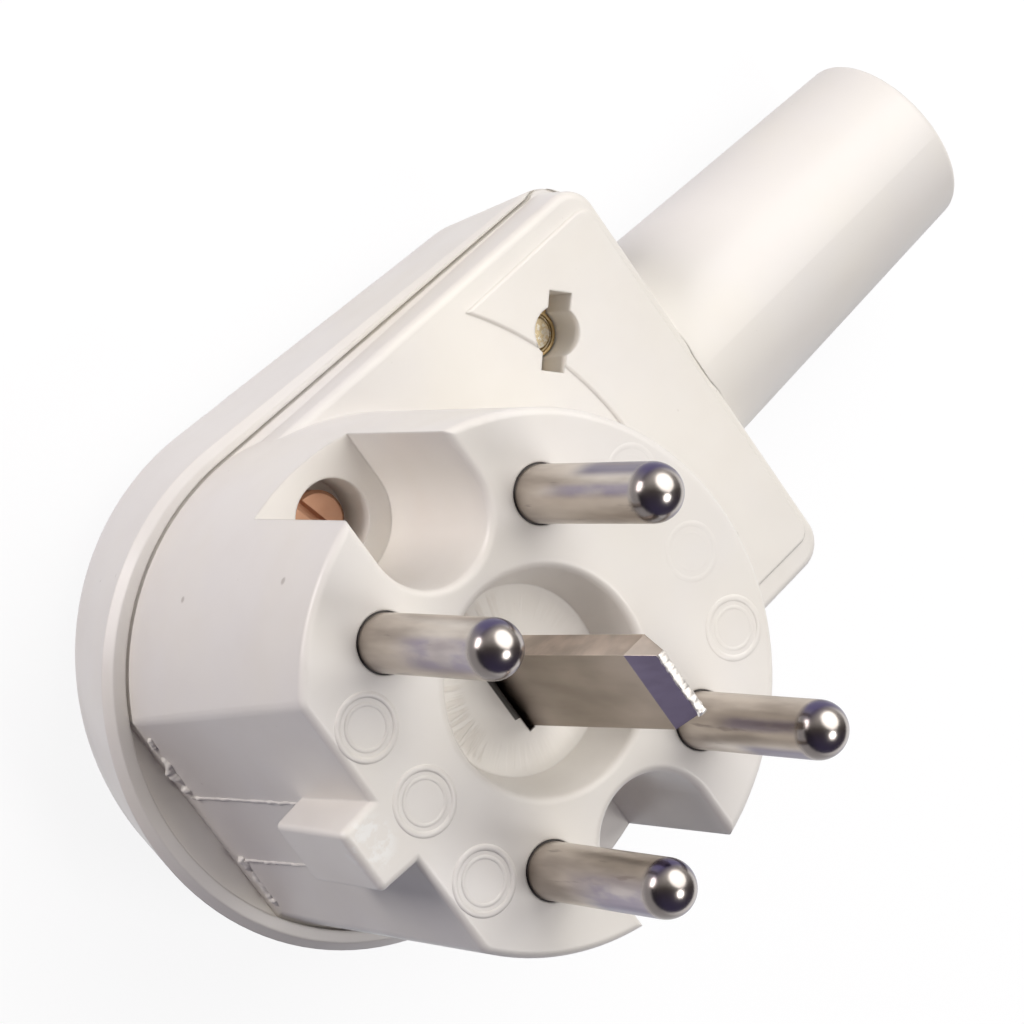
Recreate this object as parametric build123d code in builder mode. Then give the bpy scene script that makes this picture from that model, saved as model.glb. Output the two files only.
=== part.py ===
"""Angled round-pin plug for a five-pole wall socket: four round pins around a flat earth blade.

Millimetres. The back of the rear cover lies on z = 0 and the pins point along +Z.
The cable leaves along +X. The axis of the round nose is the Z axis.
"""

from build123d import *
from copy import copy
from math import cos, radians, sin
import os

# levels above the back of the plug
PART_Z = 17.7          # top of the rear cover's lip, where the two mouldings meet
SEAT_Z = 16.7          # the front housing sits on this ledge inside the lip
PLATE_Z = 22.2         # flat plate of the front housing, beside the nose
SHELF_Z = 33.0         # floor of the two scoops in the nose
FACE_Z = 50.0          # flat face of the nose
PIN_TIP_Z = 70.0
BLADE_TIP_Z = 69.3

# plan of the front housing
NOSE_R = 23.0          # at the face
NOSE_DRAFT = 0.35      # the nose is wider by this much at its foot
FLARE_R = 23.6         # the nose widens to this just above the seat
FLARE_H = 2.3
SKIRT_END_X = 44.15    # flat cable end, at the seat
SKIRT_HALF_Y = 22.3
SKIRT_DRAFT = 0.15     # the side walls close in by this much up to the plate
FLARE_IN = 0.62        # the flare closes in by this much over its height
FLARE_OUT = 0.25       # foot of the flare beyond the side walls and the cable end
SKIRT_IN = 0.1         # the skirt stands back from the nose by this much
CORNER_R = 3.0
WALL = 2.4

# chord facet with the polarising key
CHORD_X = 18.65        # distance of the facet from the axis, at the face
CHORD_DRAFT = 3.1      # degrees
CHORD_CORNER_R = 1.6
KEY_X = 22.6
KEY_ROOT_HALF_Y = 3.4
KEY_TIP_HALF_Y = 3.15
KEY_H = 11.6
KEY_EDGE_R = 0.5       # rounding of the key's two outer upright edges
FACE_EDGE_R = 0.7      # rounding of the outline of the face, with the key and the scoops

PLATE_EDGE_R = 0.8

# raised pad of the plate, at the cable end
PAD_R = 33.3           # inner edge, an arc about the nose axis
PAD_HALF_Y = 19.8
PAD_END_X = 43.2
PAD_H = 0.3
PAD_CORNER_R = 1.5
PAD_EDGE = 0.2         # bevel round the pad

# scoops for the cover screws
SCREW_Y = 17.6
SCOOP_R = 5.75
WELL_R = 3.6
WELL_FLOOR_Z = 28.2
PILLAR_R = 4.75
SHANK_CLEAR = 0.2      # play round the shank of a cover screw

# central recess round the blade
RECESS_R = 9.7
RECESS_DEPTH = 5.0
RECESS_FLOOR_R = 8.2
RECESS_EDGE_R = 0.8

# contacts
PIN_X = 9.55
PIN_Y = 12.5
PIN_R = 2.5
PIN_ROOT_R = 2.6       # thicker inside the nose
PIN_GAP = 0.15
CEILING_Z = 30.5       # inside of the nose, where the contacts' shoulders rest
SHOULDER_R = 4.1
HEAD_R = 3.7
HEAD_BOTTOM_Z = 17.5
WIRE_HOLE_R = 1.8
WIRE_HOLE_Z = 23.0
GRUB_R = 1.7
GRUB_CLEAR = 0.05
GRUB_BOTTOM_Z = 17.0
GRUB_TOP_Z = 21.0
GRUB_SLOT_W = 0.7
GRUB_SLOT_DEPTH = 0.9
GRUB_CHAMFER = 0.3
BLADE_W = 7.8
BLADE_T = 2.6
BLADE_LEAN = 1.1       # the free end is bent over by this much, towards the cable end
BLADE_BEVEL_T = 0.95
BLADE_BEVEL_W = 0.85
BLADE_BEVEL_H = 2.9
BLADE_GAP = 0.2
BLADE_SLOT_T = 3.4     # the slot for the blade is wider than the blade
BLADE_SHOULDER_W = 10.5
BLADE_SHOULDER_T = 5.4
BLADE_TAB_W = 6.5
BLADE_TAB_T = 5.0
BLADE_INNER_CORNER_R = 0.4
STEP_GAP = 0.05        # play between faces that touch
OVERLAP = 0.5          # added shapes reach this far into what they join
REACH = 1.0            # cuts run on past the surface by this much

# plate that holds the contacts in the nose
RETAINER_R = 20.1
RETAINER_TOP_Z = 27.15
RETAINER_T = 2.1
RETAINER_CHORD_GAP = 0.6
RETAINER_SCREW_X = 13.4
RETAINER_BOSS_R = 3.0
RETAINER_SHANK_R = 1.4
RETAINER_HEAD_R = 2.7
RETAINER_HEAD_H = 1.7
RETAINER_SHANK_TOP_Z = 33.0
RETAINER_POINT = 0.8
RETAINER_PLAY = 0.3    # round the pillars and round the tab of the blade
RETAINER_HEAD_PLAY = 0.12  # round the heads of the pins
RETAINER_SHANK_PLAY = 0.2

# rear cover: a round end that leans in towards the back, and a flat cable end
COVER_R = 25.1
COVER_CENTRE_X = -0.6
COVER_END_X = 45.6
COVER_HALF_Y = 23.0
COVER_CORNER_R = 5.5
LIP_BEVEL = 0.75       # bevel of the lip, at the round end and the cable end
LIP_BEVEL_SIDE = 0.2   # the same at the ends of the sides
LIP_BEVEL_H = 0.9
LIP_GAP = 0.07         # play between the lip and the front housing
BACK_R = 25.0          # outline of the back, before its edge is rounded
BACK_CENTRE_X = 4.0
BACK_LEAN = 3.8        # the cable end leans in by this much
BACK_HALF_Y = 22.7
BACK_CORNER_R = 9.0
BACK_EDGE_R = 8.0
COVER_CAVITY_R = 20.8
COVER_CAVITY_END_X = 42.6
COVER_CAVITY_HALF_Y = 20.2
COVER_FLOOR_Z = 2.5
FLOOR_R = 19.4         # outline of the cover's floor inside
FLOOR_END_X = 37.9
FLOOR_HALF_Y = 18.4
FLOOR_CORNER_R = 4.5
INNER_CHORD_X = 17.6   # both mouldings are flat inside here, behind the facet

# plate cavity of the front housing
PLATE_CEILING_Z = 19.7
FRONT_CAVITY_R = 20.4
FRONT_CAVITY_END_X = 41.8
FRONT_CAVITY_HALF_Y = 20.0

# cover screws and their inserts
SCREW_HEAD_R = 2.6
SCREW_HEAD_H = 2.2
SCREW_HEAD_CHAMFER = 0.3
SCREW_R = 1.5
SCREW_END_Z = 8.6
SCREW_END_CHAMFER = 0.5
SCREW_SLOT_W = 0.8
SCREW_SLOT_DEPTH = 1.0
SCREW_SLOT_TURN = -75  # degrees
INSERT_R = 2.6
INSERT_LENGTH = 8.0
PILLAR_FLOOR = 1.5     # left below the screw's hole in the cover's pillar

# cable sleeve
SLEEVE_Z = 11.15
SLEEVE_BASE_R = 11.1
SLEEVE_END_R = 9.35
SLEEVE_END_X = 81.2
SLEEVE_BORE_R = 6.2
SLEEVE_LIP_R = 0.8
NECK_R = 7.2
NECK_GAP = 0.15
FLANGE_R = 10.3
FLANGE_BOTTOM_Z = 3.9
FLANGE_TOP_Z = 19.5
FLANGE_GAP = 0.15
FLANGE_START_X = 38.6
FLANGE_END_X = 40.5
END_WALL_X = 40.6
END_WALL_HALF_Y = 12.5
SLEEVE_FOOT_X = 35.0   # the foot reaches in this far under the rounded back
SLEEVE_LAP_X = 43.6    # and laps over the rounded end of the plate up to here

# cord clamp
CLAMP_X = 33.2
CLAMP_Y = 12.6
CLAMP_BOSS_R = 5.2
CLAMP_BOSS_BOTTOM_Z = 12.0
KEYHOLE_R = 2.4
KEYHOLE_SLOT_L = 7.4
KEYHOLE_SLOT_W = 2.4
KEYHOLE_TURN = 45      # degrees, towards the corner of the cable end
NUT_SEAT_Z = 15.7
NUT_H = 2.5
NUT_GAP = 0.15
CLAMP_SCREW_R = 1.95
CLAMP_SCREW_TOP_Z = 18.6
CLAMP_HEAD_R = 3.3
CLAMP_HEAD_BOTTOM_Z = 3.0
CLAMP_HEAD_H = 2.1
BAR_LENGTH = 32.4
BAR_W = 8.0
BAR_BOTTOM_Z = 2.8
BAR_H = 4.2
BAR_CORNER_R = 1.5
BAR_PLAY = 0.25        # round the clamp screws
CABLE_R = 5.8
SADDLE_W = 5.0
SADDLE_BOTTOM_Z = 14.6
CLAMP_SLOT_W = 1.0


def outline(radius, end_x, half_y, corner=CORNER_R, centre_x=0.0):
    """Plan of the housing: a round end, drawn out to a flat end across +X."""
    with BuildSketch() as plan:
        with Locations((centre_x, 0)):
            Circle(radius)
        with Locations((end_x - corner, half_y - corner), (end_x - corner, corner - half_y)):
            Circle(corner)
        make_hull()
    return plan.sketch


def flange_plan(gap=0.0):
    """The flange of the cable sleeve in a plane across X: round, with a flat above and below."""
    with BuildSketch() as flange:
        with Locations((0, SLEEVE_Z)):
            Circle(FLANGE_R + gap)
        with Locations((0, (FLANGE_BOTTOM_Z + FLANGE_TOP_Z) / 2)):
            Rectangle(
                3 * FLANGE_R,
                FLANGE_TOP_Z - FLANGE_BOTTOM_Z + 2 * gap,
                mode=Mode.INTERSECT,
            )
    return flange.sketch


def keyhole_plan(radius, length, width):
    """A round opening with a slot through it."""
    with BuildSketch() as opening:
        Circle(radius)
        Rectangle(length, width, rotation=KEYHOLE_TURN)
    return opening.sketch


# the facet: a chord of the nose, leaning in towards the face
CHORD_PLANE = Plane(
    origin=(-CHORD_X, 0, FACE_Z),
    x_dir=(0, 1, 0),
    z_dir=(-cos(radians(CHORD_DRAFT)), 0, sin(radians(CHORD_DRAFT))),
)

# outer shape of the rear cover, also used to shape the foot of the cable sleeve
cover_plan = outline(COVER_R, COVER_END_X, COVER_HALF_Y, COVER_CORNER_R, COVER_CENTRE_X)
with BuildPart() as cover_shape:
    with BuildSketch(Plane.XY.offset(PART_Z - LIP_BEVEL_H)):
        add(cover_plan)
    with BuildSketch():
        add(outline(BACK_R, COVER_END_X - BACK_LEAN, BACK_HALF_Y, BACK_CORNER_R, BACK_CENTRE_X))
    loft()
    fillet(cover_shape.faces().sort_by(Axis.Z)[0].edges(), BACK_EDGE_R)
    # bevel of the lip
    with BuildSketch(Plane.XY.offset(PART_Z - LIP_BEVEL_H)):
        add(cover_plan)
    with BuildSketch(Plane.XY.offset(PART_Z)):
        add(
            outline(
                COVER_R - LIP_BEVEL,
                COVER_END_X - LIP_BEVEL,
                COVER_HALF_Y - LIP_BEVEL_SIDE,
                COVER_CORNER_R - LIP_BEVEL_SIDE,
                COVER_CENTRE_X,
            )
        )
    loft()

# skirt and flare of the front housing, without the nose
with BuildPart() as skirt_shape:
    with BuildSketch(Plane.XY.offset(SEAT_Z)):
        add(outline(NOSE_R - SKIRT_IN, SKIRT_END_X, SKIRT_HALF_Y))
    with BuildSketch(Plane.XY.offset(PLATE_Z)):
        add(outline(NOSE_R - SKIRT_IN, SKIRT_END_X - SKIRT_DRAFT, SKIRT_HALF_Y - SKIRT_DRAFT))
    loft()
    fillet(skirt_shape.faces().sort_by(Axis.Z)[-1].edges(), PLATE_EDGE_R)
    with BuildSketch(Plane.XY.offset(SEAT_Z)):
        add(outline(FLARE_R, SKIRT_END_X + FLARE_OUT, SKIRT_HALF_Y + FLARE_OUT))
    with BuildSketch(Plane.XY.offset(SEAT_Z + FLARE_H)):
        add(
            outline(
                FLARE_R - FLARE_IN,
                SKIRT_END_X + FLARE_OUT - FLARE_IN,
                SKIRT_HALF_Y + FLARE_OUT - FLARE_IN,
            )
        )
    loft()

# raised pad on the plate, with a bevel round it
with BuildPart() as plate_pad:
    with BuildSketch(Plane.XY.offset(PLATE_Z - OVERLAP)):
        with Locations((PAD_END_X / 2, 0)):
            RectangleRounded(PAD_END_X, 2 * PAD_HALF_Y, PAD_CORNER_R)
        Circle(PAD_R, mode=Mode.SUBTRACT)
    extrude(amount=PAD_H + OVERLAP)
    chamfer(plate_pad.faces().sort_by(Axis.Z)[-1].edges(), PAD_EDGE)

with BuildPart() as front_housing:
    with BuildSketch(Plane.XY.offset(SEAT_Z)):
        Circle(NOSE_R + NOSE_DRAFT)
    with BuildSketch(Plane.XY.offset(FACE_Z)):
        Circle(NOSE_R)
    loft()
    add(skirt_shape.part)
    add(plate_pad.part)
    # the flat facet
    split(bisect_by=CHORD_PLANE, keep=Keep.BOTTOM)
    # soften the two upright corners of the facet
    facet_corners = (
        front_housing.edges()
        .filter_by(lambda edge: edge.length > FACE_Z - PLATE_Z and edge.center().X < REACH - CHORD_X)
        .filter_by(lambda edge: abs(edge.center().Y) > NOSE_R / 3)
    )
    fillet(facet_corners, CHORD_CORNER_R)
    # polarising key on the facet
    with BuildSketch(Plane.XY.offset(FACE_Z - KEY_H)):
        Polygon(
            (-KEY_X, -KEY_TIP_HALF_Y),
            (OVERLAP - CHORD_X, -KEY_ROOT_HALF_Y),
            (OVERLAP - CHORD_X, KEY_ROOT_HALF_Y),
            (-KEY_X, KEY_TIP_HALF_Y),
            align=None,
        )
    extrude(amount=KEY_H)
    key_corners = front_housing.edges().filter_by(Axis.Z).group_by(Axis.X)[0]
    fillet(key_corners, KEY_EDGE_R)
    # space for the contacts inside the nose
    with BuildSketch(Plane.XY.offset(SEAT_Z)):
        Circle(NOSE_R - WALL)
        with Locations((-INNER_CHORD_X, 0)):
            Rectangle(3 * NOSE_R, 3 * NOSE_R, align=(Align.MIN, Align.CENTER), mode=Mode.INTERSECT)
    extrude(amount=CEILING_Z - SEAT_Z, mode=Mode.SUBTRACT)
    # space under the plate
    with BuildSketch(Plane.XY.offset(SEAT_Z)):
        add(outline(FRONT_CAVITY_R, FRONT_CAVITY_END_X, FRONT_CAVITY_HALF_Y))
        Rectangle(3 * NOSE_R, 3 * NOSE_R, align=(Align.MIN, Align.CENTER), mode=Mode.INTERSECT)
    extrude(amount=PLATE_CEILING_Z - SEAT_Z, mode=Mode.SUBTRACT)
    # pillars for the cover screws, and bosses for the retainer's screws
    with BuildSketch(Plane.XY.offset(SEAT_Z)):
        with Locations((0, SCREW_Y), (0, -SCREW_Y)):
            Circle(PILLAR_R)
    extrude(amount=CEILING_Z - SEAT_Z + OVERLAP)
    with BuildSketch(Plane.XY.offset(RETAINER_TOP_Z + STEP_GAP)):
        with Locations((RETAINER_SCREW_X, 0), (-RETAINER_SCREW_X, 0)):
            Circle(RETAINER_BOSS_R)
    extrude(amount=CEILING_Z - RETAINER_TOP_Z)
    # bosses and saddle of the cord clamp
    with BuildSketch(Plane.XY.offset(CLAMP_BOSS_BOTTOM_Z)):
        with Locations((CLAMP_X, CLAMP_Y), (CLAMP_X, -CLAMP_Y)):
            Circle(CLAMP_BOSS_R)
    extrude(amount=PLATE_CEILING_Z - CLAMP_BOSS_BOTTOM_Z + OVERLAP)
    with BuildSketch(Plane.XY.offset(SADDLE_BOTTOM_Z)):
        with Locations((CLAMP_X, 0)):
            Rectangle(SADDLE_W, 2 * CLAMP_Y)
    extrude(amount=PLATE_CEILING_Z - SADDLE_BOTTOM_Z + OVERLAP)
    with BuildSketch(Plane.YZ.offset(CLAMP_X - SADDLE_W)):
        with Locations((0, SLEEVE_Z)):
            Circle(CABLE_R)
    extrude(amount=2 * SADDLE_W, mode=Mode.SUBTRACT)
    # thicker end wall round the neck of the cable sleeve
    with BuildSketch(Plane.XY.offset(SEAT_Z)):
        with Locations((END_WALL_X, 0)):
            Rectangle(
                FRONT_CAVITY_END_X - END_WALL_X + OVERLAP,
                2 * END_WALL_HALF_Y,
                align=(Align.MIN, Align.CENTER),
            )
    extrude(amount=PLATE_CEILING_Z - SEAT_Z + OVERLAP)
    with BuildSketch(Plane.YZ.offset(END_WALL_X - OVERLAP)):
        with Locations((0, SLEEVE_Z)):
            Circle(NECK_R + NECK_GAP)
    extrude(amount=COVER_END_X, mode=Mode.SUBTRACT)
    # scoops, open towards the rim, with the wells of the cover screws in their floors
    for side in (1, -1):
        with BuildSketch(Plane.XY.offset(SHELF_Z)):
            with Locations((0, side * SCREW_Y)):
                Circle(SCOOP_R)
            with Locations((0, side * (SCREW_Y + NOSE_R / 2))):
                Rectangle(2 * SCOOP_R, NOSE_R)
        extrude(amount=FACE_Z - SHELF_Z, mode=Mode.SUBTRACT)
    fillet(front_housing.faces().sort_by(Axis.Z)[-1].edges(), FACE_EDGE_R)
    with Locations((0, SCREW_Y, SHELF_Z), (0, -SCREW_Y, SHELF_Z)):
        CounterBoreHole(SCREW_R + SHANK_CLEAR, WELL_R, SHELF_Z - WELL_FLOOR_Z, SHELF_Z - SEAT_Z + REACH)
    # recess round the blade
    with BuildSketch(Plane.XY.offset(FACE_Z)):
        Circle(RECESS_R)
    with BuildSketch(Plane.XY.offset(FACE_Z - RECESS_DEPTH)):
        Circle(RECESS_FLOOR_R)
    loft(mode=Mode.SUBTRACT)
    fillet(front_housing.faces().sort_by(Axis.Z)[-1].inner_wires().edges(), RECESS_EDGE_R)
    # passages for the pins and the blade
    with Locations((0, 0, FACE_Z)):
        with GridLocations(2 * PIN_X, 2 * PIN_Y, 2, 2):
            Hole(PIN_R + PIN_GAP, FACE_Z - CEILING_Z + REACH)
    with BuildSketch(Plane.XY.offset(CEILING_Z - REACH)):
        Rectangle(BLADE_SLOT_T, BLADE_W + 2 * BLADE_GAP)
    extrude(amount=FACE_Z - CEILING_Z, mode=Mode.SUBTRACT)
    # holes for the retainer's screws
    with BuildSketch(Plane.XY.offset(RETAINER_TOP_Z)):
        with Locations((RETAINER_SCREW_X, 0), (-RETAINER_SCREW_X, 0)):
            Circle(RETAINER_SHANK_R + GRUB_CLEAR)
    extrude(amount=RETAINER_SHANK_TOP_Z + REACH - RETAINER_TOP_Z, mode=Mode.SUBTRACT)
    # keyhole openings over the clamp nuts, and the holes of the clamp screws below them
    with BuildSketch(Plane.XY.offset(NUT_SEAT_Z)):
        with Locations((CLAMP_X, CLAMP_Y)):
            add(keyhole_plan(KEYHOLE_R, KEYHOLE_SLOT_L, KEYHOLE_SLOT_W))
        mirror(about=Plane.XZ)
    extrude(amount=FACE_Z - NUT_SEAT_Z, mode=Mode.SUBTRACT)
    with BuildSketch(Plane.XY.offset(CLAMP_BOSS_BOTTOM_Z - REACH)):
        with Locations((CLAMP_X, CLAMP_Y), (CLAMP_X, -CLAMP_Y)):
            Circle(CLAMP_SCREW_R + GRUB_CLEAR)
    extrude(amount=NUT_SEAT_Z - CLAMP_BOSS_BOTTOM_Z + 2 * REACH, mode=Mode.SUBTRACT)
front_housing.part.label = "front_housing"

with BuildPart() as rear_cover:
    add(cover_shape.part)
    # ledge for the front housing, inside the lip
    with BuildSketch(Plane.XY.offset(SEAT_Z)):
        add(
            outline(
                FLARE_R + LIP_GAP,
                SKIRT_END_X + FLARE_OUT + LIP_GAP,
                SKIRT_HALF_Y + FLARE_OUT + LIP_GAP,
            )
        )
    extrude(amount=PART_Z - SEAT_Z, mode=Mode.SUBTRACT)
    # inside of the cover; the ledge stays whole under the facet
    with BuildSketch(Plane.XY.offset(SEAT_Z)):
        add(outline(COVER_CAVITY_R, COVER_CAVITY_END_X, COVER_CAVITY_HALF_Y))
    with BuildSketch(Plane.XY.offset(COVER_FLOOR_Z)):
        add(outline(FLOOR_R, FLOOR_END_X, FLOOR_HALF_Y, FLOOR_CORNER_R, BACK_CENTRE_X))
    loft(mode=Mode.SUBTRACT)
    with BuildSketch(Plane.XY.offset(COVER_FLOOR_Z)):
        Circle(COVER_CAVITY_R + OVERLAP)
        with Locations((-INNER_CHORD_X, 0)):
            Rectangle(NOSE_R, 3 * NOSE_R, align=(Align.MAX, Align.CENTER), mode=Mode.INTERSECT)
    extrude(amount=SEAT_Z - COVER_FLOOR_Z)
    # pillars for the cover screws
    with BuildSketch(Plane.XY.offset(COVER_FLOOR_Z - OVERLAP)):
        with Locations((0, SCREW_Y), (0, -SCREW_Y)):
            Circle(PILLAR_R)
    extrude(amount=SEAT_Z - STEP_GAP - COVER_FLOOR_Z + OVERLAP)
    with Locations((0, SCREW_Y, SEAT_Z), (0, -SCREW_Y, SEAT_Z)):
        CounterBoreHole(
            SCREW_R + SHANK_CLEAR,
            INSERT_R,
            INSERT_LENGTH + STEP_GAP,
            SEAT_Z - COVER_FLOOR_Z - PILLAR_FLOOR,
        )
    # thicker end wall round the neck of the cable sleeve
    with BuildSketch(Plane.XY.offset(COVER_FLOOR_Z - OVERLAP)):
        with Locations((END_WALL_X, 0)):
            Rectangle(
                COVER_CAVITY_END_X - END_WALL_X + OVERLAP,
                2 * END_WALL_HALF_Y,
                align=(Align.MIN, Align.CENTER),
            )
    extrude(amount=SEAT_Z - COVER_FLOOR_Z + OVERLAP)
    # the added walls end at the rounded back
    add(cover_shape.part, mode=Mode.INTERSECT)
    # pocket for the flange of the cable sleeve, and the hole for its neck
    with BuildSketch(Plane.YZ.offset(FLANGE_START_X - FLANGE_GAP)):
        add(flange_plan(FLANGE_GAP))
    extrude(amount=END_WALL_X - FLANGE_START_X + FLANGE_GAP, mode=Mode.SUBTRACT)
    with BuildSketch(Plane.YZ.offset(END_WALL_X - OVERLAP)):
        with Locations((0, SLEEVE_Z)):
            Circle(NECK_R + NECK_GAP)
    extrude(amount=COVER_END_X, mode=Mode.SUBTRACT)
rear_cover.part.label = "rear_cover"

# bend-protection sleeve: a tapered tube outside, a neck through the end wall, a flange inside
with BuildPart() as cable_sleeve:
    with BuildSketch(Plane.XZ) as sleeve_profile:
        with BuildLine():
            Polyline(
                (SLEEVE_FOOT_X, SLEEVE_Z),
                (SLEEVE_FOOT_X, SLEEVE_Z + SLEEVE_BASE_R),
                (SKIRT_END_X, SLEEVE_Z + SLEEVE_BASE_R),
                (SLEEVE_END_X, SLEEVE_Z + SLEEVE_END_R),
                (SLEEVE_END_X, SLEEVE_Z),
                close=True,
            )
        make_face()
    revolve(axis=Axis((0, 0, SLEEVE_Z), (1, 0, 0)))
    fillet(cable_sleeve.faces().sort_by(Axis.X)[-1].edges(), SLEEVE_LIP_R)
    # the foot follows the end faces of both mouldings
    add(cover_shape.part, mode=Mode.SUBTRACT)
    add(skirt_shape.part, mode=Mode.SUBTRACT)
    with BuildSketch(Plane.XY.offset(SEAT_Z)):
        Rectangle(2 * SLEEVE_LAP_X, 4 * SLEEVE_BASE_R)
    extrude(amount=SLEEVE_BASE_R, mode=Mode.SUBTRACT)
    with BuildSketch(Plane.YZ.offset(FLANGE_START_X)):
        with Locations((0, SLEEVE_Z)):
            Circle(NECK_R)
    extrude(amount=COVER_END_X + REACH - FLANGE_START_X)
    with BuildSketch(Plane.YZ.offset(FLANGE_START_X)):
        add(flange_plan())
    extrude(amount=FLANGE_END_X - FLANGE_START_X)
    with BuildSketch(Plane.YZ.offset(FLANGE_START_X - REACH)):
        with Locations((0, SLEEVE_Z)):
            Circle(SLEEVE_BORE_R)
    extrude(amount=SLEEVE_END_X, mode=Mode.SUBTRACT)
cable_sleeve.part.label = "cable_sleeve"

# a contact pin: round-ended shaft, shoulder under the nose, terminal head with its wire hole
with BuildPart() as pin:
    with BuildSketch(Plane.XZ):
        with BuildLine():
            Polyline(
                (0, HEAD_BOTTOM_Z),
                (HEAD_R, HEAD_BOTTOM_Z),
                (HEAD_R, RETAINER_TOP_Z + STEP_GAP),
                (SHOULDER_R, RETAINER_TOP_Z + STEP_GAP),
                (SHOULDER_R, CEILING_Z - STEP_GAP),
                (PIN_ROOT_R, CEILING_Z - STEP_GAP),
                (PIN_ROOT_R, FACE_Z),
                (PIN_R, FACE_Z),
                (PIN_R, PIN_TIP_Z - PIN_R),
            )
            RadiusArc((PIN_R, PIN_TIP_Z - PIN_R), (0, PIN_TIP_Z), -PIN_R)
            Line((0, PIN_TIP_Z), (0, HEAD_BOTTOM_Z))
        make_face()
    revolve(axis=Axis.Z)
    with BuildSketch(Plane.YZ.offset(-2 * HEAD_R)):
        with Locations((0, WIRE_HOLE_Z)):
            Circle(WIRE_HOLE_R)
    extrude(amount=4 * HEAD_R, mode=Mode.SUBTRACT)
    with BuildSketch(Plane.XY.offset(HEAD_BOTTOM_Z)):
        Circle(GRUB_R + GRUB_CLEAR)
    extrude(amount=WIRE_HOLE_Z - HEAD_BOTTOM_Z, mode=Mode.SUBTRACT)

# slotted terminal screw, turned in from behind
with BuildPart() as grub:
    with BuildSketch(Plane.XY.offset(GRUB_BOTTOM_Z)):
        Circle(GRUB_R)
    extrude(amount=GRUB_TOP_Z - GRUB_BOTTOM_Z)
    chamfer(grub.faces().sort_by(Axis.Z)[-1].edges(), GRUB_CHAMFER)
    with BuildSketch(Plane.XY.offset(GRUB_BOTTOM_Z)):
        Rectangle(4 * GRUB_R, GRUB_SLOT_W)
    extrude(amount=GRUB_SLOT_DEPTH, mode=Mode.SUBTRACT)

# earth blade: leaning blade with a bevelled tip, shoulder and terminal tab
BLADE_BEND_Z = FACE_Z - RECESS_DEPTH
BEVEL_LEAN = BLADE_LEAN * (1 - BLADE_BEVEL_H / (BLADE_TIP_Z - BLADE_BEND_Z))
with BuildPart() as earth_blade:
    with BuildSketch(Plane.XY.offset(CEILING_Z - STEP_GAP)):
        Rectangle(BLADE_T, BLADE_W)
    extrude(amount=BLADE_BEND_Z - CEILING_Z + STEP_GAP)
    with BuildSketch(Plane.XY.offset(BLADE_BEND_Z)):
        Rectangle(BLADE_T, BLADE_W)
    with BuildSketch(Plane.XY.offset(BLADE_TIP_Z - BLADE_BEVEL_H)):
        with Locations((BEVEL_LEAN, 0)):
            Rectangle(BLADE_T, BLADE_W)
    loft()
    with BuildSketch(Plane.XY.offset(BLADE_TIP_Z - BLADE_BEVEL_H)):
        with Locations((BEVEL_LEAN, 0)):
            Rectangle(BLADE_T, BLADE_W)
    with BuildSketch(Plane.XY.offset(BLADE_TIP_Z)):
        with Locations((BLADE_LEAN, 0)):
            Rectangle(BLADE_T - 2 * BLADE_BEVEL_T, BLADE_W - 2 * BLADE_BEVEL_W)
    loft()
    with BuildSketch(Plane.XY.offset(RETAINER_TOP_Z + STEP_GAP)):
        RectangleRounded(BLADE_SHOULDER_T, BLADE_SHOULDER_W, BLADE_INNER_CORNER_R)
    extrude(amount=CEILING_Z - RETAINER_TOP_Z - 2 * STEP_GAP)
    with BuildSketch(Plane.XY.offset(HEAD_BOTTOM_Z)):
        RectangleRounded(BLADE_TAB_T, BLADE_TAB_W, BLADE_INNER_CORNER_R)
    extrude(amount=RETAINER_TOP_Z + STEP_GAP - HEAD_BOTTOM_Z)
    with BuildSketch(Plane.YZ.offset(-BLADE_TAB_W)):
        with Locations((0, WIRE_HOLE_Z)):
            Circle(WIRE_HOLE_R)
    extrude(amount=2 * BLADE_TAB_W, mode=Mode.SUBTRACT)
    with BuildSketch(Plane.XY.offset(HEAD_BOTTOM_Z)):
        Circle(GRUB_R + GRUB_CLEAR)
    extrude(amount=WIRE_HOLE_Z - HEAD_BOTTOM_Z, mode=Mode.SUBTRACT)
earth_blade.part.label = "earth_blade"

# plate that holds the five contacts up against the nose
with BuildPart() as retainer_plate:
    with BuildSketch(Plane.XY.offset(RETAINER_TOP_Z - RETAINER_T)):
        Circle(RETAINER_R)
        with Locations((RETAINER_CHORD_GAP - INNER_CHORD_X, 0)):
            Rectangle(3 * NOSE_R, 3 * NOSE_R, align=(Align.MIN, Align.CENTER), mode=Mode.INTERSECT)
        with Locations((0, SCREW_Y), (0, -SCREW_Y)):
            Circle(PILLAR_R + RETAINER_PLAY, mode=Mode.SUBTRACT)
        with GridLocations(2 * PIN_X, 2 * PIN_Y, 2, 2):
            Circle(HEAD_R + RETAINER_HEAD_PLAY, mode=Mode.SUBTRACT)
        RectangleRounded(
            BLADE_TAB_T + RETAINER_PLAY,
            BLADE_TAB_W + RETAINER_PLAY,
            BLADE_INNER_CORNER_R,
            mode=Mode.SUBTRACT,
        )
        with Locations((RETAINER_SCREW_X, 0), (-RETAINER_SCREW_X, 0)):
            Circle(RETAINER_SHANK_R + RETAINER_SHANK_PLAY, mode=Mode.SUBTRACT)
    extrude(amount=RETAINER_T)
retainer_plate.part.label = "retainer_plate"

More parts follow.
